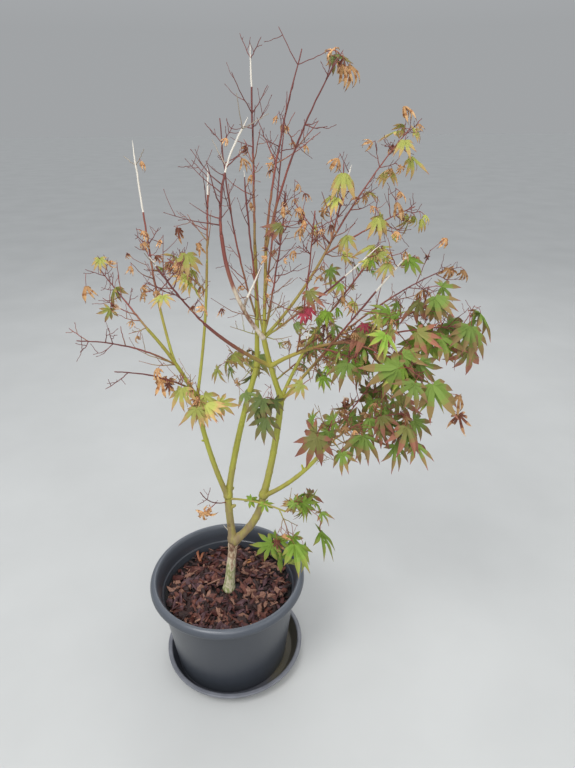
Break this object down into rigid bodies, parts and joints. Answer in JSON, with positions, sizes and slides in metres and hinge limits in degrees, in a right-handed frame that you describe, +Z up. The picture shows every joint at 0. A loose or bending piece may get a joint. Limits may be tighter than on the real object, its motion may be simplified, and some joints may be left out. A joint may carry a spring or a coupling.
{
  "type": "potted japanese maple",
  "caption": "Small forked japanese maple, part bare, with lobed green and bronze leaves, growing in bark mulch in a round plastic pot on its saucer.",
  "frame": {"origin": "on the pot's axis, on the ground under the saucer", "axes": "+Z up along the pot's axis, +X towards the right of the crown's fullest side, +Y away from the viewer"},
  "size_m": [0.8073, 0.4848, 1.4615],
  "materials": {
    "pot_plastic": "satin",
    "bark_mulch": "rough",
    "trunk_bark": "rough",
    "green_bark": "satin",
    "red_bark": "satin",
    "foliage": "matte"
  },
  "bodies": {
    "root": {"saucer": "pot_plastic", "pot": "pot_plastic", "potting_mix": "bark_mulch", "trunk": "trunk_bark", "left_foot": "green_bark", "right_foot": "green_bark", "left_stem": "green_bark", "middle_stem": "green_bark", "centre_stem": "green_bark", "right_bough": "green_bark", "low_bough": "red_bark", "centre_limb": "green_bark", "mid_limb": "red_bark", "low_limb": "red_bark", "left_limb": "red_bark", "right_limb": "red_bark", "left_fork": "red_bark", "left_leader": "red_bark", "left_tall": "red_bark", "red_curve": "red_bark", "centre_top": "red_bark", "fan_limb": "red_bark", "middle_top": "green_bark", "left_far_foliage": "foliage", "left_side_foliage": "foliage", "left_low_foliage": "foliage", "left_collar_foliage": "foliage", "left_crown_foliage": "foliage", "left_mid_foliage": "foliage", "left_spire_foliage": "foliage", "left_inner_foliage": "foliage", "red_top_foliage": "foliage", "back_top_foliage": "foliage", "tall_top_foliage": "foliage", "inner_left_foliage": "foliage", "inner_right_foliage": "foliage", "tall_right_foliage": "foliage", "inner_top_foliage": "foliage", "slim_top_foliage": "foliage", "mid_fan_foliage": "foliage", "fan_inner_foliage": "foliage", "fan_low_foliage": "foliage", "back_low_foliage": "foliage", "fan_top_foliage": "foliage", "upper_right_foliage": "foliage", "fan_right_foliage": "foliage", "mid_right_foliage": "foliage", "right_back_foliage": "foliage", "cluster_top_foliage": "foliage", "cluster_foliage": "foliage", "cluster_low_foliage": "foliage", "right_inner_foliage": "foliage", "bough_tip_foliage": "foliage", "bough_top_foliage": "foliage", "bough_right_foliage": "foliage", "low_spray_foliage": "foliage", "low_hang_foliage": "foliage", "foot_twig_foliage": "foliage", "centre_leaves_foliage": "foliage", "hanging_foliage": "foliage"}
  },
  "joints": []
}
